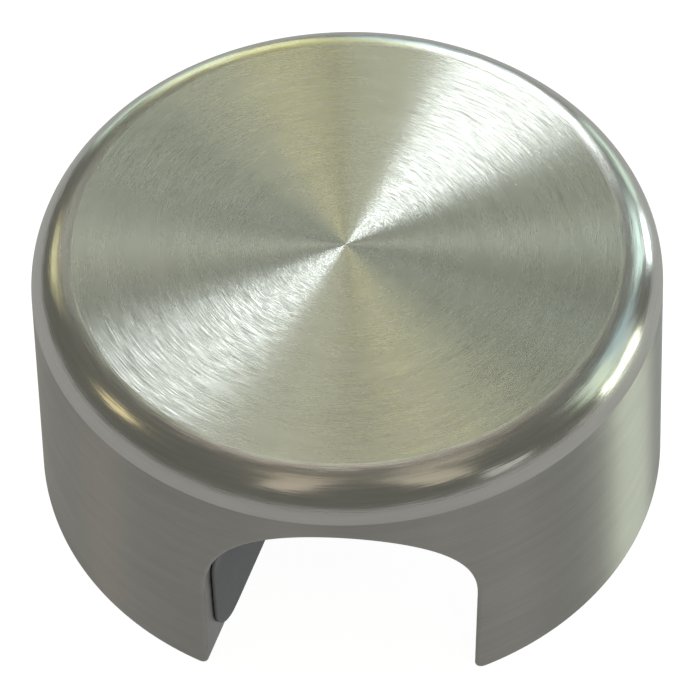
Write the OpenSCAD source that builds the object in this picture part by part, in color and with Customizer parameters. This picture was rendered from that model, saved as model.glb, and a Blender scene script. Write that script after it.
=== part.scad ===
// Slotted stainless pipe cap.
//
// A solid round cap with a rounded shoulder sits on a surface and holds a tube in a
// full-round slot across its underside. The slot is off centre, so one leg is thick enough
// for the hidden fixings: a clamp screw that pushes a brass shoe against the tube, and two
// blind tapped holes that open in the base. A thin liner keeps the steel off the tube.
//
// Millimetres, +Z up. Origin: centre of the base circle. The slot runs along Y.

/* [Cap] */
// Diameter of the cap at its base
base_d = 52; // [50:0.5:60]
// Height of the cap
cap_h = 24.7; // [24:0.1:32]
// Draft of the side wall, in degrees
side_draft = 2.1; // [0:0.1:3]
// Radius of the rounded shoulder
shoulder_r = 3.4; // [2:0.1:4.5]

/* [Slot] */
// Outside diameter of the tube that lies in the slot
tube_d = 19.05; // [16:0.05:20]
// Distance of the slot's centre from the cap's axis
slot_offset = 6.9; // [5:0.1:7.5]
// Radius on the slot's two lower edges
mouth_r = 0.7; // [0.3:0.1:1]

/* [Liner] */
// Thickness of the liner
liner_t = 0.3; // [0.2:0.1:1]
// How far the liner's ends stay inside the cap's outline
liner_setback = 2; // [0.8:0.1:3]
// Radius on the liner's four lower corners
liner_corner_r = 4; // [2:0.5:5]

/* [Clamp screw] */
// Pitch diameter of the screw thread
screw_d = 5.35; // [4.5:0.05:6]
// Length of the screw
screw_len = 12; // [8:0.5:13]
// Hexagon socket, across flats
socket_af = 3; // [2:0.5:3]
// Depth of the hexagon socket
socket_depth = 3.5; // [2:0.5:4]
// Diameter of the pressure shoe
shoe_d = 4.9; // [4:0.1:5]

/* [Fixing holes] */
// Tapping diameter of the two fixing holes
fixing_d = 5; // [4:0.1:6]
// Depth of the full-diameter part of each fixing hole
fixing_depth = 13; // [8:0.5:15]
// Distance between the two fixing holes
fixing_spacing = 20; // [16:1:24]
// Distance of the fixing holes from the cap's axis, along X
fixing_x = 13; // [10:0.5:15]

/* [Hidden] */

fine = 128;                 // segments on the cap's own circles
medium = 64;                // segments on bores and small parts
eps = 0.01;
margin = 5;                 // how far a cutter runs past what it cuts

seat_clearance = 0.325;     // between the tube and the liner, taken up by the clamp screw
rest_gap = 0.025;           // between the tube and the surface that the cap stands on
bond_gap = 0.05;            // adhesive between the liner and the steel
running_gap = 0.05;         // radial clearance of the screw in its bore
axial_gap = 0.1;            // between the screw's shoulder and the shoe

base_r = base_d / 2;
seat_r = tube_d / 2 + seat_clearance;
slot_r = seat_r + liner_t + bond_gap;
spring_z = tube_d / 2 + rest_gap;
cut_len = base_d + 2 * margin;
liner_end_r = base_r - liner_setback;

shoulder_z = cap_h - shoulder_r;
shoulder_x = base_r - shoulder_z * tan(side_draft) - shoulder_r / cos(side_draft);

side_x = base_r - spring_z * tan(side_draft);        // side wall's radius at the screw
bore_d = screw_d + 2 * running_gap;
screw_recess = 2.4;         // the screw's socket end lies this far inside the side wall
screw_x = -side_x + screw_recess;
nose_d = 2.4;               // pilot on the screw's nose, which carries the shoe
nose_len = 1.5;
nose_gap = 0.05;
shoe_x = screw_x + screw_len + axial_gap;
shoe_face_x = slot_offset - seat_r - 0.1;            // just behind the liner's surface
window_d = shoe_d + 1.2;    // window in the liner for the shoe
screw_chamfer = 0.5;
shoe_chamfer = 0.3;
drill_tip = fixing_d / 2 / tan(59);                  // cone that a 118 degree drill leaves

// Outline of the cap, right half, with a true arc on the shoulder
module cap_outline() {
    polygon([
        [0, 0],
        [base_r, 0],
        [shoulder_x + shoulder_r * cos(side_draft), shoulder_z + shoulder_r * sin(side_draft)],
        [shoulder_x, cap_h],
        [0, cap_h]
    ]);
    translate([shoulder_x, shoulder_z]) circle(r = shoulder_r, $fn = fine);
}

// Cross-section of a full-round slot of the given radius, open below
module slot_outline(r) {
    translate([0, spring_z]) circle(r = r, $fn = fine);
    translate([-r, -margin]) square([2 * r, spring_z + margin]);
}

// The two rounded lower edges of the slot
module mouth_rounding() {
    for (side = [-1, 1])
        scale([side, 1])
            difference() {
                translate([slot_r - eps, -margin]) square([mouth_r + eps, margin + mouth_r]);
                translate([slot_r + mouth_r, mouth_r]) circle(r = mouth_r, $fn = medium);
            }
}

// Puts a cross-section drawn in X and Z along the slot's direction
module along_slot(length = cut_len) {
    translate([slot_offset, length / 2, 0])
        rotate([90, 0, 0])
            linear_extrude(height = length)
                children();
}

// Cylinder along +X from a given X
module rod_x(x, d, length) {
    translate([x, 0, spring_z]) rotate([0, 90, 0]) cylinder(d = d, h = length, $fn = medium);
}

// Cone along +X from one diameter to another
module cone_x(x, d1, d2, length) {
    translate([x, 0, spring_z])
        rotate([0, 90, 0]) cylinder(d1 = d1, d2 = d2, h = length, $fn = medium);
}

module fixing_hole() {
    translate([0, 0, -margin]) cylinder(d = fixing_d, h = fixing_depth + margin, $fn = medium);
    translate([0, 0, fixing_depth - eps])
        cylinder(d1 = fixing_d, d2 = 0, h = drill_tip, $fn = medium);
}

module cap_body() {
    color([0.66, 0.65, 0.61])
        difference() {
            rotate_extrude($fn = fine) cap_outline();
            along_slot() slot_outline(slot_r);
            along_slot() mouth_rounding();
            rod_x(-side_x - margin, bore_d, side_x + margin);
            for (side = [-1, 1])
                translate([-fixing_x, side * fixing_spacing / 2, 0]) fixing_hole();
        }
}

// Waste outside a quarter circle, at the end and foot of one leg of the liner
module liner_corner_waste(leg_y) {
    arc_y = leg_y - liner_corner_r;
    arc_z = mouth_r + liner_corner_r;
    rotate([90, 0, 90])
        linear_extrude(height = 2 * liner_t, center = true)
            difference() {
                translate([arc_y, arc_z - liner_corner_r - margin])
                    square(liner_corner_r + margin);
                translate([arc_y, arc_z]) circle(r = liner_corner_r, $fn = medium);
            }
}

module slot_liner() {
    color([0.2, 0.21, 0.22])
        difference() {
            intersection() {
                along_slot()
                    difference() {
                        slot_outline(seat_r + liner_t);
                        slot_outline(seat_r);
                    }
                translate([0, 0, mouth_r])
                    cylinder(r = liner_end_r, h = cap_h, $fn = fine);
            }
            rod_x(slot_offset - slot_r - margin, window_d, slot_r + margin);
            for (leg = [-1, 1], end = [-1, 1]) {
                leg_x = slot_offset + leg * (seat_r + liner_t / 2);
                leg_y = sqrt(pow(liner_end_r, 2) - pow(leg_x, 2));
                translate([leg_x, 0, 0]) scale([1, end, 1]) liner_corner_waste(leg_y);
            }
        }
}

module clamp_screw() {
    color([0.35, 0.35, 0.36])
        difference() {
            union() {
                cone_x(screw_x, screw_d - 2 * screw_chamfer, screw_d, screw_chamfer);
                rod_x(screw_x + screw_chamfer, screw_d, screw_len - 2 * screw_chamfer);
                cone_x(screw_x + screw_len - screw_chamfer, screw_d,
                       screw_d - 2 * screw_chamfer, screw_chamfer);
                rod_x(screw_x + screw_len - eps, nose_d, nose_len);
            }
            translate([screw_x - eps, 0, spring_z])
                rotate([0, 90, 0])
                    cylinder(d = socket_af / cos(30), h = socket_depth, $fn = 6);
        }
}

module pressure_shoe() {
    color([0.75, 0.6, 0.3])
        difference() {
            union() {
                rod_x(shoe_x, shoe_d, shoe_face_x - shoe_x - shoe_chamfer);
                cone_x(shoe_face_x - shoe_chamfer, shoe_d, shoe_d - 2 * shoe_chamfer,
                       shoe_chamfer);
            }
            rod_x(shoe_x - eps, nose_d + 2 * nose_gap, nose_len + axial_gap);
        }
}

cap_body();
slot_liner();
clamp_screw();
pressure_shoe();
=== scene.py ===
"""Looks of the slotted pipe cap: a turned stainless cap, its rubber slot liner, whose dark grey is
painted shade on the slot's walls, and the clamp screw and brass shoe hidden in its thick leg.

Shapes are worked out in millimetres in the frame of the CAD model and made in metres.
"""

import math

import bmesh
import bpy
from mathutils import Matrix, Vector
from mathutils.geometry import delaunay_2d_cdt


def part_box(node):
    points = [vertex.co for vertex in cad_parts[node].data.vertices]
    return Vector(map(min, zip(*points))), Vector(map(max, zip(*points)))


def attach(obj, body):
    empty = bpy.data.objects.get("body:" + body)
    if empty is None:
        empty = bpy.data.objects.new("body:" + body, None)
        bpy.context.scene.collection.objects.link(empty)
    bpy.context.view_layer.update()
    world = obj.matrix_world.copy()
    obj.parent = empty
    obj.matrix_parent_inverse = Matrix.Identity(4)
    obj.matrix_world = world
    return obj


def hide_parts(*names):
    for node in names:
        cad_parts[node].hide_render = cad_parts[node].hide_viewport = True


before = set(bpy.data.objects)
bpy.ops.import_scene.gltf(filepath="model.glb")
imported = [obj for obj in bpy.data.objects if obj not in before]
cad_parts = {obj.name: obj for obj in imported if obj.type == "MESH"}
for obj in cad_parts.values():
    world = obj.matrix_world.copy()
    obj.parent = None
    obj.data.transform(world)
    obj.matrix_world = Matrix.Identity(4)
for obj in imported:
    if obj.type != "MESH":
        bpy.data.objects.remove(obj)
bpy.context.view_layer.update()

MM = 0.001
cap_low, cap_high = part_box("cap_body")
screw_low, screw_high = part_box("clamp_screw")
shoe_low, shoe_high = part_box("pressure_shoe")

# Cap, in millimetres. The box gives the outer sizes, the rest repeats the CAD source.
BASE_R = (cap_high.x - cap_low.x) / 2 / MM
CAP_H = cap_high.z / MM
DRAFT = math.radians(2.1)
SHOULDER_R = 3.4
SHOULDER_Z = CAP_H - SHOULDER_R
SHOULDER_X = BASE_R - SHOULDER_Z * math.tan(DRAFT) - SHOULDER_R / math.cos(DRAFT)
TANGENT_Z = SHOULDER_Z + SHOULDER_R * math.sin(DRAFT)  # where the side wall ends
SLOT_X = 6.9
SLOT_R = 10.2
SPRING_Z = 9.55
MOUTH_R = 0.7
EDGE_R = 0.25  # small round that the finishing leaves on the edge of the side wall

# Liner
LINER_R = 9.85
LINER_T = 0.3
LINER_END_R = 24.0
LINER_CORNER_R = 4.0
LINER_WINDOW_R = 3.05

# Bore, screw, shoe and fixing holes
PITCH = 1.0
BORE_R = 2.725
BORE_MOUTH_R = 3.1
BORE_EXIT_R = 2.85
FIXING_R = 2.5
FIXING_X = -13.0
FIXING_Y = 10.0
FIXING_DEPTH = 13.0
FIXING_MOUTH_R = 3.2
THREAD_DEPTH = 0.28
SCREW_R = (screw_high.y - screw_low.y) / 2 / MM
SCREW_NOSE_LEN = 1.5
SCREW_NOSE_R = 1.2
SOCKET_R = 3.0 / 2 / math.cos(math.radians(30))
SOCKET_DEPTH = 3.5
SHOE_R = (shoe_high.y - shoe_low.y) / 2 / MM
SHOE_SOCKET_R = 1.25
SHOE_SOCKET_DEPTH = 1.6
ROUND = 48  # segments round every bore and small part
IN_RIM = 0.996  # share of a hole's radius that its 48-sided rim surely holds
FADE_SIDE = 2.0  # height over which the shoulder's finish turns into the side's
FADE_TOP = 0.6  # the same below the top face
FLOOR_REACH = 3.0  # half the floor's width, in metres
FLOOR_Z = -0.00002  # just under the feet, in metres
LAMP_CENTRE = 0.02  # height that every lamp faces, in metres


def lerp(a, b, t):
    return a + (b - a) * t


def steps(a, b, n):
    """n + 1 even values from a to b."""
    return [lerp(a, b, i / n) for i in range(n + 1)]


class Skin:
    """Points and faces of one mesh, in millimetres, with a material number for each face."""

    def __init__(self):
        self.points, self.faces, self.paint = [], [], []

    def row(self, points):
        first = len(self.points)
        self.points.extend(Vector(p) for p in points)
        return list(range(first, len(self.points)))

    def face(self, corners, paint):
        self.faces.append(tuple(corners))
        self.paint.append(paint)

    def strip(self, a, b, paint, closed=False):
        """Quads between two rows with the same number of points."""
        n = len(a)
        for i in range(n if closed else n - 1):
            j = (i + 1) % n
            self.face((a[i], a[j], b[j], b[i]), paint)

    def sheet(self, rows, paint, closed=False):
        for a, b in zip(rows, rows[1:]):
            self.strip(a, b, paint, closed)

    def fan(self, ring, centre, paint):
        for i in range(len(ring)):
            self.face((ring[i], ring[(i + 1) % len(ring)], centre), paint)

    def web(self, loops, flat, keep, paint):
        """Triangles over the plane region between closed loops of points. flat gives a point's
        two coordinates in that plane, and keep says whether a place in it is to be filled."""
        ids = [i for loop in loops for i in loop]
        edges, first = [], 0
        for loop in loops:
            n = len(loop)
            edges += [(first + i, first + (i + 1) % n) for i in range(n)]
            first += n
        spots = [Vector(flat(self.points[i])) for i in ids]
        places, _, triangles, origin, _, _ = delaunay_2d_cdt(spots, edges, [], 1, 1e-7)
        for t in triangles:
            middle = sum((places[i] for i in t), Vector((0, 0))) / 3
            if keep(middle):
                self.face([ids[origin[i][0]] for i in t], paint)

    def open_hole(self, rim, near, flat, keep):
        """Takes away the faces that near picks by their points, and joins the edge of what is
        left to the closed row rim."""
        gone = [k for k, f in enumerate(self.faces) if any(near(self.points[i]) for i in f)]
        paint = self.paint[gone[0]]
        sides = {}
        for k in gone:
            f = self.faces[k]
            for i in range(len(f)):
                a, b = f[i], f[(i + 1) % len(f)]
                sides.setdefault(frozenset((a, b)), []).append((a, b))
        after = {a: b for found in sides.values() if len(found) == 1 for a, b in found}
        start = next(iter(after))
        loop, at = [start], after[start]
        while at != start:
            loop.append(at)
            at = after[at]
        for k in reversed(gone):
            del self.faces[k], self.paint[k]
        self.web([loop, rim], flat, keep, paint)

    def make(self, name, body, materials, sharp=35.0):
        """One object in metres that rides on a body, smooth shaded, with edges sharp past an angle.
        """
        mesh = bpy.data.meshes.new(name)
        mesh.from_pydata([p * MM for p in self.points], [], self.faces)
        for m in materials:
            mesh.materials.append(m)
        mesh.polygons.foreach_set("material_index", self.paint)
        work = bmesh.new()
        work.from_mesh(mesh)
        loose = [v for v in work.verts if not v.link_faces]
        bmesh.ops.delete(work, geom=loose, context="VERTS")
        bmesh.ops.recalc_face_normals(work, faces=work.faces)
        work.to_mesh(mesh)
        work.free()
        mesh.shade_smooth()
        mesh.set_sharp_from_angle(angle=math.radians(sharp))
        piece = bpy.data.objects.new(name, mesh)
        bpy.context.scene.collection.objects.link(piece)
        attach(piece, body)
        return piece


def weigh_normals(piece):
    weighted = piece.modifiers.new("normals", "WEIGHTED_NORMAL")
    weighted.keep_sharp = True


# ---------------------------------------------------------------- camera

CAM_AZIMUTH = math.radians(20.5)
CAM_ELEVATION = math.radians(50.95)
CAM_ROLL = math.radians(1.68)
CAM_DISTANCE = 0.3011
CAM_LENS = 190.4
AIM_UP = -0.00045
AIM_RIGHT = -0.000074

RIGHT = Vector((math.cos(CAM_AZIMUTH), math.sin(CAM_AZIMUTH), 0))
AWAY = Vector((-math.sin(CAM_AZIMUTH), math.cos(CAM_AZIMUTH), 0))
UP = Vector((0, 0, 1))


def make_camera():
    back = UP * math.sin(CAM_ELEVATION) - AWAY * math.cos(CAM_ELEVATION)
    over = back.cross(RIGHT)
    right = RIGHT * math.cos(CAM_ROLL) - over * math.sin(CAM_ROLL)
    over = back.cross(right)
    aim = UP * (CAP_H * MM / 2) + over * AIM_UP + right * AIM_RIGHT
    data = bpy.data.cameras.new("camera")
    data.lens = CAM_LENS
    data.sensor_width = 36
    data.clip_start, data.clip_end = 0.01, 20
    camera = bpy.data.objects.new("camera", data)
    camera.matrix_world = Matrix.Translation(aim + back * CAM_DISTANCE) @ Matrix(
        (right, over, back)
    ).transposed().to_4x4()
    bpy.context.scene.collection.objects.link(camera)
    bpy.context.scene.camera = camera


# ---------------------------------------------------------------- materials


class Paint:
    """A procedural material: the principled shader and short ways to feed it."""

    def __init__(self, name, **sockets):
        self.material = bpy.data.materials.new(name)
        self.material.use_nodes = True
        self.tree = self.material.node_tree
        self.shader = self.tree.nodes["Principled BSDF"]
        self.to_shader(**sockets)

    def feed(self, socket, value):
        if isinstance(value, bpy.types.NodeSocket):
            self.tree.links.new(value, socket)
        else:
            socket.default_value = value

    def node(self, kind, inputs, **settings):
        made = self.tree.nodes.new("ShaderNode" + kind)
        for key, value in settings.items():
            setattr(made, key, value)
        for key, value in inputs.items():
            self.feed(made.inputs[key], value)
        return made

    def math(self, operation, a, b=0.0):
        return self.node("Math", {0: a, 1: b}, operation=operation).outputs[0]

    def blend(self, operation, a, b=(0, 0, 0)):
        """Arithmetic on two vectors."""
        return self.node("VectorMath", {0: a, 1: b}, operation=operation).outputs[0]

    def place(self):
        """x, y and z of the point, in metres in the object's own frame."""
        spot = self.node("TexCoord", {}).outputs["Object"]
        return self.node("SeparateXYZ", {0: spot}).outputs

    def vector(self, x, y, z):
        return self.node("CombineXYZ", {0: x, 1: y, 2: z}).outputs[0]

    def noise(self, vector, scale, detail=3.0, roughness=0.5):
        return self.node(
            "TexNoise",
            {"Vector": vector, "Scale": scale, "Detail": detail, "Roughness": roughness},
        ).outputs["Fac"]

    def span(self, value, low, high, to_low, to_high):
        return self.node(
            "MapRange", {0: value, 1: low, 2: high, 3: to_low, 4: to_high}
        ).outputs[0]

    def ramp(self, value, *stops):
        """A colour from (position, (r, g, b)) stops."""
        made = self.node("ValToRGB", {0: value})
        ends = made.color_ramp.elements
        while len(ends) < len(stops):
            ends.new(0.5)
        for end, (position, colour) in zip(ends, stops):
            end.position = position
            end.color = (*colour, 1)
        return made.outputs[0]

    def bump(self, height, strength, distance):
        inputs = {"Height": height, "Strength": strength, "Distance": distance}
        return self.node("Bump", inputs).outputs[0]

    def to_shader(self, **sockets):
        for key, value in sockets.items():
            title = key.replace("_", " ").title().replace("Ior", "IOR")
            self.feed(self.shader.inputs[title], value)


def grain_vector(paint, a, b, radius, along, turns, across):
    """Coordinates stretched round an axis, so that a noise makes the arcs a lathe leaves. a and
    b are square to that axis, along is the place across the arcs in metres, turns is how fast
    the noise changes round the axis, and across is how fast it does per metre."""
    return paint.vector(
        paint.math("MULTIPLY", paint.math("DIVIDE", a, radius), turns),
        paint.math("MULTIPLY", paint.math("DIVIDE", b, radius), turns),
        paint.math("MULTIPLY", along, across),
    )


def groove_normal(paint, x, y, radius, slope):
    """The surface normal tipped by slope, square to the arcs that turning round Z leaves."""
    ring = paint.vector(paint.math("DIVIDE", paint.math("MULTIPLY", y, -1.0), radius),
                        paint.math("DIVIDE", x, radius), 0.0)
    normal = paint.node("NewGeometry", {}).outputs["Normal"]
    across = paint.blend("CROSS_PRODUCT", normal, ring)
    tip = paint.node("VectorMath", {0: across, "Scale": slope}, operation="SCALE").outputs[0]
    return paint.blend("NORMALIZE", paint.blend("ADD", normal, tip))


def turned_steel(name, flat, roughness, anisotropy, slope, colour, tint):
    """Stainless steel turned round Z. flat is 1 for a face square to Z, 0 for a side wall and
    between for the shoulder, where the arcs are counted along both. slope is how steep the
    sides of the fine grooves are."""
    paint = Paint(name, metallic=1.0, anisotropic=anisotropy, anisotropic_rotation=0.25)
    x, y, z = paint.place()
    radius = paint.math("SQRT", paint.math("ADD", paint.math("MULTIPLY", x, x),
                                           paint.math("MULTIPLY", y, y)))
    radius = paint.math("MAXIMUM", radius, 1e-6)
    across = paint.math("SUBTRACT", paint.math("MULTIPLY", radius, flat),
                        paint.math("MULTIPLY", z, 1.0 - flat))
    fine = paint.noise(grain_vector(paint, x, y, radius, across, 6.0, 6000.0), 1.0, 2.0, 0.5)
    hair = paint.noise(grain_vector(paint, x, y, radius, across, 9.0, 30000.0), 1.0, 1.0, 0.5)
    wide = paint.noise(grain_vector(paint, x, y, radius, across, 2.0, 900.0), 1.0, 3.0, 0.5)
    clouds = paint.noise(paint.vector(x, y, z), 160.0, 3.0, 0.55)
    low, high = roughness
    rough = paint.math("ADD", paint.span(fine, 0.3, 0.7, low, high),
                       paint.span(clouds, 0.3, 0.7, -0.012, 0.012))
    if flat == 0.5:  # the shoulder grows as dull as the side and the top where it meets them
        to_side = paint.span(z, TANGENT_Z * MM, (TANGENT_Z + FADE_SIDE) * MM, 0.23, 0.0)
        to_top = paint.span(z, (CAP_H - FADE_TOP) * MM, CAP_H * MM, 0.0, 0.08)
        rough = paint.math("ADD", rough, paint.math("ADD", to_side, to_top))
    shade = paint.math("ADD", paint.math("MULTIPLY", fine, 0.6),
                       paint.math("MULTIPLY", wide, 0.4))
    both = paint.math("ADD", paint.math("MULTIPLY", fine, 0.05),
                      paint.math("MULTIPLY", hair, 0.95))
    tip = paint.math("MULTIPLY", paint.math("SUBTRACT", both, 0.5), slope)
    paint.to_shader(
        base_color=paint.ramp(shade, (0.3, tint), (0.7, colour)),
        roughness=rough,
        normal=groove_normal(paint, x, y, radius, tip),
        tangent=paint.node("Tangent", {}, direction_type="RADIAL", axis="Z").outputs[0],
    )
    return paint.material


def milled_steel(name):
    """Steel with the straight fine lines of a cutter that ran along Y."""
    paint = Paint(name, metallic=1.0)
    x, y, z = paint.place()
    lines = paint.noise(
        paint.vector(paint.math("MULTIPLY", x, 3000.0), paint.math("MULTIPLY", y, 120.0),
                     paint.math("MULTIPLY", z, 3000.0)), 1.0, 3.0, 0.6)
    clouds = paint.noise(paint.vector(x, y, z), 220.0, 3.0)
    paint.to_shader(
        base_color=paint.ramp(lines, (0.3, (0.30, 0.295, 0.285)), (0.7, (0.44, 0.435, 0.42))),
        roughness=paint.math("ADD", paint.span(lines, 0.3, 0.7, 0.34, 0.46),
                             paint.span(clouds, 0.3, 0.7, -0.05, 0.05)),
        normal=paint.bump(lines, 0.25, 0.00003),
    )
    return paint.material


def thread_steel(name):
    """Cut thread: a little darker and oily, with fine drag marks."""
    paint = Paint(name, metallic=1.0)
    x, y, z = paint.place()
    grain = paint.noise(paint.vector(x, y, z), 2600.0, 4.0, 0.6)
    paint.to_shader(
        base_color=paint.ramp(grain, (0.3, (0.21, 0.205, 0.195)), (0.75, (0.38, 0.375, 0.36))),
        roughness=paint.span(grain, 0.3, 0.7, 0.3, 0.48),
        normal=paint.bump(grain, 0.2, 0.00002),
    )
    return paint.material


def liner_rubber_painted_shade(name):
    """Dark grey moulded rubber with a fine matt grain. Its dark grey is painted shade: a dark sheet
    over the slot's walls, where they lie in shade.
    """
    paint = Paint(name, specular_ior_level=0.4)
    x, y, z = paint.place()
    spot = paint.vector(x, y, z)
    grain = paint.noise(spot, 3800.0, 3.0, 0.6)
    clouds = paint.noise(spot, 140.0, 4.0, 0.55)
    shade = paint.math("ADD", paint.math("MULTIPLY", grain, 0.45),
                       paint.math("MULTIPLY", clouds, 0.55))
    paint.to_shader(
        # painted shade: the liner's dark grey stands in for the shade on the slot's walls
        base_color=paint.ramp(shade, (0.3, (0.110, 0.115, 0.118)), (0.7, (0.158, 0.164, 0.167))),
        roughness=paint.span(clouds, 0.3, 0.7, 0.58, 0.74),
        normal=paint.bump(grain, 0.35, 0.00003),
    )
    return paint.material


def screw_steel(name):
    """Plain grey set-screw steel, with marks of the rolling and a darker film."""
    paint = Paint(name, metallic=1.0)
    x, y, z = paint.place()
    spot = paint.vector(x, y, z)
    grain = paint.noise(spot, 2200.0, 4.0, 0.6)
    film = paint.noise(spot, 420.0, 3.0, 0.5)
    shade = paint.math("ADD", paint.math("MULTIPLY", grain, 0.4),
                       paint.math("MULTIPLY", film, 0.6))
    paint.to_shader(
        base_color=paint.ramp(shade, (0.3, (0.17, 0.17, 0.175)), (0.7, (0.34, 0.34, 0.345))),
        roughness=paint.span(film, 0.3, 0.7, 0.26, 0.44),
        normal=paint.bump(grain, 0.15, 0.00002),
    )
    return paint.material


def shoe_brass(name):
    """Turned brass with arcs round X and a faint tarnish."""
    paint = Paint(name, metallic=1.0)
    x, y, z = paint.place()
    height = paint.math("SUBTRACT", z, SPRING_Z * MM)
    radius = paint.math("SQRT", paint.math("ADD", paint.math("MULTIPLY", y, y),
                                           paint.math("MULTIPLY", height, height)))
    radius = paint.math("MAXIMUM", radius, 1e-6)
    turned = grain_vector(paint, y, height, radius, x, 5.0, 6000.0)
    ends = grain_vector(paint, y, height, radius, radius, 5.0, 6000.0)
    arcs = paint.math("MULTIPLY", paint.math("ADD", paint.noise(turned, 1.0),
                                             paint.noise(ends, 1.0)), 0.5)
    tarnish = paint.noise(paint.vector(x, y, z), 500.0, 4.0, 0.6)
    shade = paint.math("ADD", paint.math("MULTIPLY", arcs, 0.4),
                       paint.math("MULTIPLY", tarnish, 0.6))
    paint.to_shader(
        base_color=paint.ramp(shade, (0.32, (0.50, 0.34, 0.13)), (0.68, (0.78, 0.58, 0.27))),
        roughness=paint.span(arcs, 0.35, 0.65, 0.24, 0.4),
        normal=paint.bump(arcs, 0.3, 0.00002),
    )
    return paint.material


# ---------------------------------------------------------------- cap body

TOP, SHOULDER, SIDE, SLOT, BASE, THREAD = range(6)
MOUTH_STEPS = 8  # along each rounded mouth of the slot, an even number
WALL_STEPS = 16  # up each straight wall of the slot
CROWN_STEPS = 56
LEG_A_STEPS = 116
LEG_B_STEPS = 66
EDGE_STEPS = 6
UPPER_STEPS = 18
SHOULDER_STEPS = 26
SLOT_ROWS = 26
RING_Z = 20.75


def wall_radius(z):
    return BASE_R - z * math.tan(DRAFT)


def on_wall(angle, z):
    r = wall_radius(z)
    return Vector((r * math.cos(angle), r * math.sin(angle), z))


def wall_spot(p):
    """Angle and height of a point on the side wall, the angle from -180 to 180 degrees."""
    return math.atan2(p.y, p.x), p.z


def slot_profile():
    """Points and outward normals, in X and Z, from the thick leg's foot over the slot to the
    thin leg's foot."""
    made = []
    left, right = SLOT_X - SLOT_R, SLOT_X + SLOT_R
    for a in steps(-math.pi / 2, 0, MOUTH_STEPS):
        n = (math.cos(a), math.sin(a))
        made.append((left - MOUTH_R + MOUTH_R * n[0], MOUTH_R + MOUTH_R * n[1], *n))
    for z in steps(MOUTH_R, SPRING_Z, WALL_STEPS)[1:]:
        made.append((left, z, 1, 0))
    for a in steps(math.pi, 0, CROWN_STEPS)[1:]:
        n = (-math.cos(a), -math.sin(a))
        made.append((SLOT_X - SLOT_R * n[0], SPRING_Z - SLOT_R * n[1], *n))
    for z in steps(SPRING_Z, MOUTH_R, WALL_STEPS)[1:]:
        made.append((right, z, -1, 0))
    for a in steps(math.pi, 1.5 * math.pi, MOUTH_STEPS)[1:]:
        n = (math.cos(a), math.sin(a))
        made.append((right + MOUTH_R + MOUTH_R * n[0], MOUTH_R + MOUTH_R * n[1], *n))
    return made


def edge_arc(spine, under):
    """The small round at one place of the side wall's edge: points from the side wall round to
    the face with the normal under, about the spine that both faces leave at EDGE_R."""
    angle = math.atan2(spine.y, spine.x)
    wall = Vector((math.cos(DRAFT) * math.cos(angle), math.cos(DRAFT) * math.sin(angle),
                   math.sin(DRAFT)))
    return [spine + wall.slerp(under, t) * EDGE_R for t in steps(0, 1, EDGE_STEPS)]


def spine_radius(z):
    return wall_radius(z) - EDGE_R / math.cos(DRAFT)


def slot_edge(side):
    """The small rounds along the slot's edge, at the front (side -1) or the back (1)."""
    made = []
    for x, z, nx, nz in slot_profile():
        sx, sz = x - EDGE_R * nx, z - EDGE_R * nz
        sy = side * math.sqrt(spine_radius(sz) ** 2 - sx**2)
        made.append(edge_arc(Vector((sx, sy, sz)), Vector((nx, 0, nz))))
    return made


def foot_edge(start, end, n):
    """The small rounds along a leg's foot between two angles, without the two ends."""
    r = spine_radius(EDGE_R)
    return [
        edge_arc(Vector((r * math.cos(a), r * math.sin(a), EDGE_R)), Vector((0, 0, -1)))
        for a in steps(start, end, n)[1:-1]
    ]


def shares(values):
    """Each point's share of the way along a line of points."""
    lengths = [0.0]
    for a, b in zip(values, values[1:]):
        lengths.append(lengths[-1] + math.dist(a, b))
    return [v / lengths[-1] for v in lengths]


def fill_leg(skin, foot, left, right):
    """The side wall of one leg up to the slot's spring line, between the rows of points foot,
    left and right, which are angle, height and point number. Returns the top row."""
    across = shares([(a * BASE_R, z) for a, z, _ in foot])
    upward = shares([(a * BASE_R, z) for a, z, _ in left])
    ends = [(left[-1][0], left[-1][1]), (right[-1][0], right[-1][1])]
    rows = [[i for _, _, i in foot]]
    for j in range(1, len(left)):
        v = upward[j]
        row = [left[j][2]]
        for i in range(1, len(foot) - 1):
            u = across[i]
            spot = [
                lerp(foot[i][k], lerp(ends[0][k], ends[1][k], u), v)
                + lerp(left[j][k], right[j][k], u)
                - lerp(lerp(foot[0][k], foot[-1][k], u), lerp(ends[0][k], ends[1][k], u), v)
                for k in (0, 1)
            ]
            row += skin.row([on_wall(*spot)])
        rows.append(row + [right[j][2]])
    skin.sheet(rows, SIDE)
    return rows[-1], [lerp(ends[0][0], ends[1][0], u) for u in across]


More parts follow.
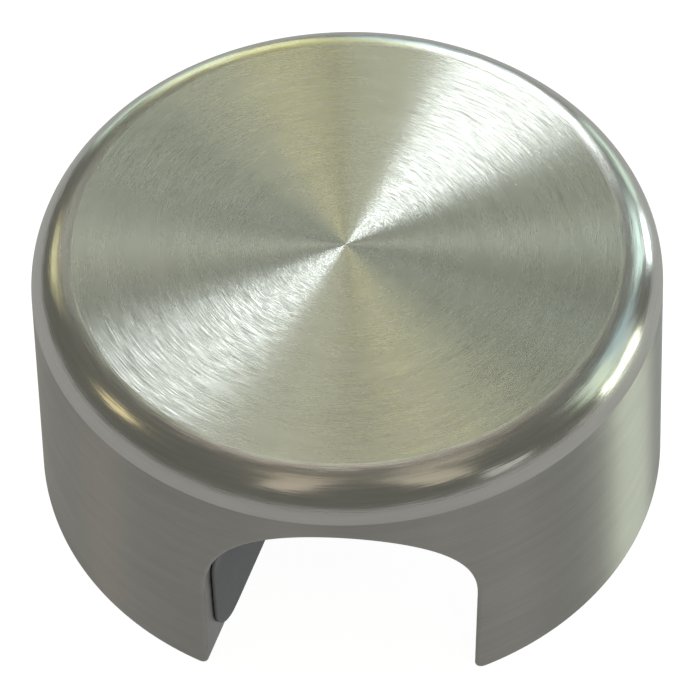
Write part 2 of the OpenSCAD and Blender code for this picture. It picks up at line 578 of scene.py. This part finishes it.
def make_outside(skin):
    """Side wall, shoulder, top, the small edge round, the slot and the feet."""
    half = MOUTH_STEPS // 2
    spring_a = MOUTH_STEPS + WALL_STEPS
    spring_b = spring_a + CROWN_STEPS
    edges = {side: [skin.row(arc) for arc in slot_edge(side)] for side in (-1, 1)}
    last = len(edges[1]) - 1
    back_a = skin.points[edges[1][0][0]]
    back_b = skin.points[edges[1][last][0]]
    angle_a = math.atan2(back_a.y, back_a.x)
    angle_b = math.atan2(back_b.y, back_b.x)
    foot_a = [skin.row(a) for a in foot_edge(angle_a, 2 * math.pi - angle_a, LEG_A_STEPS)]
    foot_b = [skin.row(a) for a in foot_edge(-angle_b, angle_b, LEG_B_STEPS)]

    def spots(arcs, turn=0.0):
        """Angle, height and number of the first point of each arc."""
        found = []
        for arc in arcs:
            a, z = wall_spot(skin.points[arc[0]])
            found.append((a + turn if a < 0 else a, z, arc[0]))
        return found

    full = 2 * math.pi
    tops = []
    for legs in (
        (
            spots(edges[1][half::-1], full)
            + spots(foot_a, full)
            + spots(edges[-1][: half + 1], full),
            spots(edges[1][half : spring_a + 1], full),
            spots(edges[-1][half : spring_a + 1], full),
        ),
        (
            spots(edges[-1][last - half :])
            + spots(foot_b)
            + spots(edges[1][: last - half - 1 : -1]),
            spots(edges[-1][last - half : spring_b - 1 : -1]),
            spots(edges[1][last - half : spring_b - 1 : -1]),
        ),
    ):
        tops.append(fill_leg(skin, *legs))
    (row_a, angles_a), (row_b, angles_b) = tops

    # one closed row of columns, from the thick leg at the back round by the front
    starts = list(zip(angles_a, row_a))
    front = spots([edges[-1][k] for k in range(spring_a, spring_b + 1)], full)
    for k in range(1, CROWN_STEPS):
        starts.append((front[k][0], front[k][2]))
    starts += [(a + full, i) for a, i in zip(angles_b, row_b)]
    back = spots([edges[1][k] for k in range(spring_b, spring_a - 1, -1)])
    for k in range(1, CROWN_STEPS):
        starts.append((back[k][0] + full, back[k][2]))
    ring_angles = [a for a, _ in starts]
    even = 0.6  # how far the columns over the slot spread from the crowding at its sides
    for first, count in ((len(row_a) - 1, CROWN_STEPS),
                         (len(row_a) - 1 + CROWN_STEPS + len(row_b) - 1, CROWN_STEPS)):
        low = ring_angles[first]
        high = ring_angles[first + count] if first + count < len(starts) else starts[0][0] + full
        for k in range(1, count):
            ring_angles[first + k] = lerp(ring_angles[first + k], lerp(low, high, k / count), even)
    rows = [[i for _, i in starts]]
    for t in steps(0, 1, UPPER_STEPS)[1:]:
        rows.append(skin.row(
            on_wall(lerp(a, b, t), lerp(skin.points[i].z, RING_Z, t))
            for (a, i), b in zip(starts, ring_angles)
        ))
    skin.sheet(rows, SIDE, closed=True)

    def ring(r, z):
        return skin.row((r * math.cos(a), r * math.sin(a), z) for a in ring_angles)

    side_top = [rows[-1]]
    for z in steps(RING_Z, TANGENT_Z, 2)[1:]:
        side_top.append(ring(wall_radius(z), z))
    skin.sheet(side_top, SIDE, closed=True)
    arcs = [side_top[-1]]
    for a in steps(DRAFT, math.pi / 2, SHOULDER_STEPS)[1:]:
        arcs.append(ring(SHOULDER_X + SHOULDER_R * math.cos(a),
                         SHOULDER_Z + SHOULDER_R * math.sin(a)))
    skin.sheet(arcs, SHOULDER, closed=True)
    discs = [arcs[-1]]
    for r in [SHOULDER_X - 0.2, SHOULDER_X - 0.6] + steps(SHOULDER_X - 1.2, 0.6, 16):
        discs.append(ring(r, CAP_H))
    skin.sheet(discs, TOP, closed=True)
    skin.fan(discs[-1], skin.row([(0, 0, CAP_H)])[0], TOP)

    # small round along the whole edge
    loop = edges[1][::-1] + foot_a + edges[-1] + foot_b
    skin.sheet([[arc[k] for arc in loop] for k in range(EDGE_STEPS + 1)], SIDE, closed=True)

    # slot, row by row from the front edge to the back edge
    inner = []
    for a, b in zip(edges[-1], edges[1]):
        p, q = skin.points[a[-1]], skin.points[b[-1]]
        between = skin.row(p.lerp(q, t) for t in steps(0, 1, SLOT_ROWS)[1:-1])
        inner.append([a[-1], *between, b[-1]])
    skin.sheet(inner, SLOT)
    outline_a = inner[0] + [arc[-1] for arc in foot_a]
    outline_b = inner[-1][::-1] + [arc[-1] for arc in foot_b]
    return outline_a, outline_b


def circle(x, y, z, r, axis):
    """ROUND points round an axis through (x, y, z), right-handed about it."""
    made = []
    for k in range(ROUND):
        c, s = r * math.cos(k * math.tau / ROUND), r * math.sin(k * math.tau / ROUND)
        made.append((x + c, y + s, z) if axis == "z" else (x, y + c, z + s))
    return made


def thread_height(place, turn):
    """From 0 at the crest to 1 at the root of a right-hand thread."""
    phase = (place / PITCH - turn) % 1.0
    wave = abs(2 * phase - 1)
    return min(1.0, max(0.0, (wave - 0.15) / 0.7))


def threaded(skin, first_row, centre, start, end, axis, radius, depth, paint):
    """Rings of a thread along an axis from start to end. Its depth, outward where positive,
    fades in and out over half a turn."""
    count = round(abs(end - start) / PITCH * 10)
    rows = [first_row]
    for place in steps(start, end, count):
        fade = min(1.0, abs(place - start) / (0.5 * PITCH), abs(place - end) / (0.5 * PITCH))
        points = []
        for k in range(ROUND):
            a = k * math.tau / ROUND
            r = radius + depth * fade * thread_height(place, k / ROUND)
            c, s = r * math.cos(a), r * math.sin(a)
            points.append((centre[0] + c, centre[1] + s, place) if axis == "z"
                          else (place, centre[0] + c, centre[1] + s))
        rows.append(skin.row(points))
    skin.sheet(rows, paint, closed=True)
    return rows[-1]


def make_cap_body(materials):
    skin = Skin()
    outline_a, outline_b = make_outside(skin)

    # feet, with the two tapped fixing holes in the thick leg
    rims = []
    for y in (-FIXING_Y, FIXING_Y):
        rim = skin.row(circle(FIXING_X, y, 0, FIXING_MOUTH_R, "z"))
        rims.append(rim)
        top = threaded(skin, rim, (FIXING_X, y), FIXING_MOUTH_R - FIXING_R, FIXING_DEPTH, "z",
                       FIXING_R, THREAD_DEPTH + 0.15, THREAD)
        tip = skin.row([(FIXING_X, y, FIXING_DEPTH + FIXING_R / math.tan(math.radians(59)))])[0]
        skin.fan(top, tip, THREAD)

    def clear_of_fixings(p):
        return all((p - Vector((FIXING_X, y))).length > FIXING_MOUTH_R * IN_RIM
                   for y in (-FIXING_Y, FIXING_Y))

    skin.web([outline_a, *rims], lambda p: (p.x, p.y), clear_of_fixings, BASE)
    skin.web([outline_b], lambda p: (p.x, p.y), lambda p: p.x > SLOT_X + SLOT_R, BASE)

    # bore of the clamp screw, from the side wall to the slot
    def off_axis(p):
        return math.hypot(p.y, p.z - SPRING_Z)

    def outer_x(y, z):
        return -math.sqrt(wall_radius(z) ** 2 - y**2)

    def inner_x(z):
        return SLOT_X - math.sqrt(SLOT_R**2 - max(0.0, z - SPRING_Z) ** 2)

    mouth = skin.row((outer_x(y, z), y, z) for _, y, z in circle(0, 0, SPRING_Z, BORE_MOUTH_R, "x"))
    skin.open_hole(mouth, lambda p: p.x < -20 and off_axis(p) < BORE_MOUTH_R + 0.25,
                   lambda p: (p.y, p.z),
                   lambda p: math.hypot(p.x, p.y - SPRING_Z) > BORE_MOUTH_R * IN_RIM)
    leave = skin.row((inner_x(z), y, z) for _, y, z in circle(0, 0, SPRING_Z, BORE_EXIT_R, "x"))
    skin.open_hole(leave,
                   lambda p: off_axis(p) < BORE_EXIT_R + 0.3 and abs(p.x - inner_x(p.z)) < 0.01,
                   lambda p: (p.y, p.z),
                   lambda p: math.hypot(p.x, p.y - SPRING_Z) > BORE_EXIT_R * IN_RIM)
    start = outer_x(0, SPRING_Z) + 0.6
    bored = threaded(skin, mouth, (0, SPRING_Z), start, SLOT_X - SLOT_R - 0.2, "x",
                     BORE_R, THREAD_DEPTH, THREAD)
    skin.strip(bored, leave, THREAD, closed=True)
    cap = skin.make("cap_body_steel", "root", materials)
    weigh_normals(cap)
    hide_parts("cap_body")
    return cap


# ---------------------------------------------------------------- liner


def make_liner(material):
    """A U-shaped strip with rounded lower corners and a window for the shoe."""
    skin = Skin()
    rows = []

    def half_width(x):
        return math.sqrt(LINER_END_R**2 - x**2)

    def add(x, z, y_end):
        rows.append(skin.row((x, y, z) for y in steps(-y_end, y_end, 44)))

    def leg(side):
        x = SLOT_X + side * LINER_R
        y_end = half_width(SLOT_X + side * (LINER_R + LINER_T / 2))
        made = []
        for a in steps(0, math.pi / 2, 12):
            made.append((x, MOUTH_R + LINER_CORNER_R * (1 - math.cos(a)),
                         y_end - LINER_CORNER_R * (1 - math.sin(a))))
        for z in steps(MOUTH_R + LINER_CORNER_R, SPRING_Z, 6)[1:]:
            made.append((x, z, y_end))
        return made

    for spot in leg(-1):
        add(*spot)
    for a in steps(math.pi, 0, 48)[1:-1]:
        x = SLOT_X + LINER_R * math.cos(a)
        middle = SLOT_X + (LINER_R + LINER_T / 2) * math.cos(a)
        add(x, SPRING_Z + LINER_R * math.sin(a), half_width(middle))
    for spot in reversed(leg(1)):
        add(*spot)
    skin.sheet(rows, 0)

    def wall_x(z):
        return SLOT_X - math.sqrt(LINER_R**2 - max(0.0, z - SPRING_Z) ** 2)

    window = skin.row((wall_x(z), y, z) for _, y, z in circle(0, 0, SPRING_Z, LINER_WINDOW_R, "x"))
    skin.open_hole(window,
                   lambda p: p.x < 0 and math.hypot(p.y, p.z - SPRING_Z) < LINER_WINDOW_R + 0.3,
                   lambda p: (p.y, p.z),
                   lambda p: math.hypot(p.x, p.y - SPRING_Z) > LINER_WINDOW_R * IN_RIM)
    liner = skin.make("slot_liner_rubber", "root", [material])
    outward = next(f.normal.x for f in liner.data.polygons
                   if f.center.x / MM < SLOT_X - LINER_R + 0.01)
    thick = liner.modifiers.new("thickness", "SOLIDIFY")
    thick.thickness = LINER_T * MM
    thick.offset = 1.0 if outward < 0 else -1.0
    thick.use_even_offset = True
    soften = liner.modifiers.new("edges", "BEVEL")
    soften.width = 0.08 * MM
    soften.segments = 3
    soften.limit_method = "ANGLE"
    soften.angle_limit = math.radians(50)
    soften.use_clamp_overlap = False  # short edges near the window would stop it
    weigh_normals(liner)
    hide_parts("slot_liner")
    return liner


# ---------------------------------------------------------------- screw and shoe


def make_screw(material):
    skin = Skin()
    start = screw_low.x / MM
    shoulder = screw_high.x / MM - SCREW_NOSE_LEN
    corner = math.radians(60)

    def hexagon(x, r):
        points = []
        for k in range(ROUND):
            a = k * math.tau / ROUND
            flat = (a % corner) - corner / 2
            reach = r * math.cos(corner / 2) / math.cos(flat)
            points.append((x, reach * math.cos(a), SPRING_Z + reach * math.sin(a)))
        return skin.row(points)

    def ring(x, r):
        return skin.row(circle(x, 0, SPRING_Z, r, "x"))

    bottom = hexagon(start + SOCKET_DEPTH, SOCKET_R)
    tip = skin.row([(start + SOCKET_DEPTH + 0.7, 0, SPRING_Z)])[0]
    skin.fan(bottom, tip, 0)
    end_face = ring(start, SCREW_R - 0.5)
    first = ring(start + 0.45, SCREW_R - 0.02)
    skin.sheet([bottom, hexagon(start + 0.2, SOCKET_R), hexagon(start, SOCKET_R + 0.16),
                end_face, first], 0, closed=True)
    body_end = threaded(skin, first, (0, SPRING_Z), start + 0.5, shoulder - 0.5, "x",
                        SCREW_R, -THREAD_DEPTH, 0)
    rows = [body_end, ring(shoulder - 0.45, SCREW_R - 0.02), ring(shoulder, SCREW_R - 0.5),
            ring(shoulder, SCREW_NOSE_R + 0.1), ring(shoulder + 0.1, SCREW_NOSE_R),
            ring(shoulder + SCREW_NOSE_LEN - 0.2, SCREW_NOSE_R),
            ring(shoulder + SCREW_NOSE_LEN, SCREW_NOSE_R - 0.2)]
    skin.sheet(rows, 0, closed=True)
    skin.fan(rows[-1], skin.row([(shoulder + SCREW_NOSE_LEN, 0, SPRING_Z)])[0], 0)
    screw = skin.make("clamp_screw_steel", "screw", [material])
    weigh_normals(screw)
    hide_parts("clamp_screw")
    return screw


def make_shoe(material):
    skin = Skin()
    start, end = shoe_low.x / MM, shoe_high.x / MM
    profile = [
        (start + SHOE_SOCKET_DEPTH, SHOE_SOCKET_R - 0.1),
        (start + SHOE_SOCKET_DEPTH - 0.1, SHOE_SOCKET_R),
        (start + 0.15, SHOE_SOCKET_R),
        (start, SHOE_SOCKET_R + 0.15),
        (start, SHOE_R - 0.25),
        (start + 0.07, SHOE_R - 0.07),
        (start + 0.25, SHOE_R),
        (lerp(start, end, 0.35), SHOE_R),
        (lerp(start, end, 0.65), SHOE_R),
        (end - 0.34, SHOE_R),
        (end - 0.26, SHOE_R - 0.03),
        (end - 0.04, SHOE_R - 0.26),
        (end, SHOE_R - 0.36),
        (end, SHOE_R * 0.5),
    ]
    rows = [skin.row(circle(x, 0, SPRING_Z, r, "x")) for x, r in profile]
    skin.sheet(rows, 0, closed=True)
    skin.fan(rows[0], skin.row([(profile[0][0] + 0.5, 0, SPRING_Z)])[0], 0)
    skin.fan(rows[-1], skin.row([(end, 0, SPRING_Z)])[0], 0)
    shoe = skin.make("pressure_shoe_brass", "shoe", [material])
    weigh_normals(shoe)
    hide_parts("pressure_shoe")
    return shoe


# ---------------------------------------------------------------- floor and light


def make_floor():
    """A pale floor of two planes in one place. The camera and soft light see one that glows
    strongly, so that it stays pale under the cap, and reflections see a duller one. Both are
    clear from below, so that the underside can be looked at."""
    for name, seen, glow, grey in (
        ("floor", True, 0.93, 0.40),
        ("floor_reflected", False, 0.39, 0.2),
    ):
        paint = Paint(name, roughness=0.9, specular_ior_level=0.1)
        spot = paint.node("TexCoord", {}).outputs["Object"]
        speck = paint.noise(spot, 90.0, 2.0)
        shade = paint.ramp(speck, (0.3, (grey, grey, grey)), (0.7, (grey * 1.02,) * 3))
        paint.to_shader(base_color=shade)
        paint.to_shader(emission_color=(1, 1, 1, 1), emission_strength=glow)
        through = paint.node("BsdfTransparent", {}).outputs[0]
        under = paint.node("NewGeometry", {}).outputs["Backfacing"]
        mix = paint.node("MixShader", {0: under, 1: paint.shader.outputs[0], 2: through})
        paint.tree.links.new(mix.outputs[0], paint.tree.nodes["Material Output"].inputs[0])
        mesh = bpy.data.meshes.new(name)
        corners = [(-FLOOR_REACH, -FLOOR_REACH), (FLOOR_REACH, -FLOOR_REACH),
                   (FLOOR_REACH, FLOOR_REACH), (-FLOOR_REACH, FLOOR_REACH)]
        mesh.from_pydata([(x, y, FLOOR_Z) for x, y in corners], [], [(0, 1, 2, 3)])
        mesh.materials.append(paint.material)
        floor = bpy.data.objects.new(name, mesh)
        bpy.context.scene.collection.objects.link(floor)
        floor.visible_camera = seen
        floor.visible_glossy = not seen
        floor.visible_diffuse = seen
        floor.visible_shadow = False


def make_lamp(name, azimuth, elevation, wide, tall, radiance, colour, distance=0.7):
    """A soft rectangular lamp that faces the cap. azimuth is 0 at the camera's right and 90
    beyond the cap, wide and tall are how large it looks from the cap; all in degrees."""
    a, e = math.radians(azimuth), math.radians(elevation)
    way = (RIGHT * math.cos(a) + AWAY * math.sin(a)) * math.cos(e) + UP * math.sin(e)
    data = bpy.data.lights.new(name, "AREA")
    data.shape = "RECTANGLE"
    data.size = 2 * distance * math.tan(math.radians(wide) / 2)
    data.size_y = 2 * distance * math.tan(math.radians(tall) / 2)
    data.energy = radiance * math.pi * data.size * data.size_y
    data.color = colour
    lamp = bpy.data.objects.new(name, data)
    lamp.location = UP * LAMP_CENTRE + way * distance
    lamp.visible_camera = False
    lamp.rotation_mode = "QUATERNION"
    lamp.rotation_quaternion = (-way).to_track_quat("-Z", "Y")
    bpy.context.scene.collection.objects.link(lamp)


def make_light():
    """Soft lamps all round, many of them tinted. Most directions and many of the values below
    began as the output of a least-squares fit, made by another program, of these lamps'
    reflections to the object's photograph. They were then rounded and changed. A rig chosen
    by hand should take this table's place."""
    lamps = (
        # name, azimuth, elevation, width, height, brightness, colour
        ("key", 76, 29, 11, 12, 12.5, (0.9, 0.98, 1.0)),
        ("key_low", 82, 17, 14, 12, 1.5, (0.5, 0.82, 1.0)),
        ("window_low", 99, 17, 14, 12, 2.0, (0.96, 1.0, 0.6)),
        ("window_edge", 108, 6, 18, 11, 1.3, (0.75, 1.0, 0.82)),
        ("yellow", 90, 29, 13, 12, 0.9, (1.0, 0.92, 0.05)),
        ("ceiling_near", 90, 55, 13, 12, 1.07, (0.86, 1.0, 0.78)),
        ("ceiling_left", 117, 42, 13, 13, 0.46, (1.0, 0.98, 0.94)),
        ("ceiling_back", 105, 67, 12, 11, 0.6, (1.0, 0.76, 0.72)),
        ("ceiling_warm", 75, 67, 12, 11, 0.4, (1.0, 0.7, 0.65)),
        ("ceiling_top", 0, 78, 10, 11, 0.8, (1.0, 0.9, 0.7)),
        ("ceiling_front", 225, 78, 10, 11, 0.6, (1.0, 0.8, 0.58)),
        ("right_back", 45, 29, 13, 12, 2.4, (0.75, 1.0, 0.96)),
        ("right_upper", 27, 42, 13, 13, 0.9, (0.6, 0.9, 1.0)),
        ("right", 9, 42, 13, 13, 1.2, (0.84, 1.0, 0.83)),
        ("right_middle", 15, 29, 13, 12, 0.8, (0.78, 1.0, 0.98)),
        ("right_side", 0, 29, 13, 12, 1.2, (0.81, 1.0, 0.77)),
        ("right_low", 5, 9, 20, 14, 5.0, (0.9, 1.0, 0.78)),
        ("right_strip", 40, 7, 10, 12, 6.0, (0.86, 1.0, 1.0)),
        ("right_far", 56, 6, 16, 11, 1.5, (0.74, 1.0, 0.85)),
        ("gold_back", 135, 29, 13, 12, 1.25, (1.0, 0.95, 0.52)),
        ("gold_left", 180, 40, 8, 12, 1.8, (1.0, 0.85, 0.45)),
        ("front_left", 245, 56, 11, 34, 0.55, (1.0, 0.86, 0.68)),
        ("front_right", 303, 56, 13, 36, 0.55, (1.0, 0.9, 0.7)),
        ("front_far", 318, 17, 14, 12, 0.7, (0.97, 1.0, 0.94)),
    )
    for lamp in lamps:
        make_lamp(*lamp)
    world = bpy.data.worlds.new("studio")
    world.use_nodes = True
    world.node_tree.nodes["Background"].inputs["Color"].default_value = (1.0, 1.0, 0.88, 1)
    world.node_tree.nodes["Background"].inputs["Strength"].default_value = 0.18
    bpy.context.scene.world = world


make_camera()
steel = [
    turned_steel("steel_top", 1.0, (0.25, 0.28), 1.0, 0.7, (0.66, 0.65, 0.62), (0.56, 0.55, 0.52)),
    turned_steel("steel_shoulder", 0.5, (0.17, 0.21), 0.5, 0.3, (0.62, 0.61, 0.58),
                 (0.55, 0.54, 0.51)),
    turned_steel("steel_side", 0.0, (0.40, 0.46), 1.0, 0.5, (0.60, 0.59, 0.56), (0.50, 0.49, 0.47)),
    milled_steel("steel_slot"),
    turned_steel("steel_base", 1.0, (0.30, 0.38), 0.6, 0.8, (0.58, 0.57, 0.54), (0.48, 0.47, 0.45)),
    thread_steel("steel_thread"),
]
make_cap_body(steel)
# the liner is a dark sheet that paints the shade on the slot's walls
make_liner(liner_rubber_painted_shade("rubber"))
make_screw(screw_steel("steel_screw"))
make_shoe(shoe_brass("brass"))
make_floor()
make_light()
bpy.context.scene.view_settings.view_transform = "Standard"
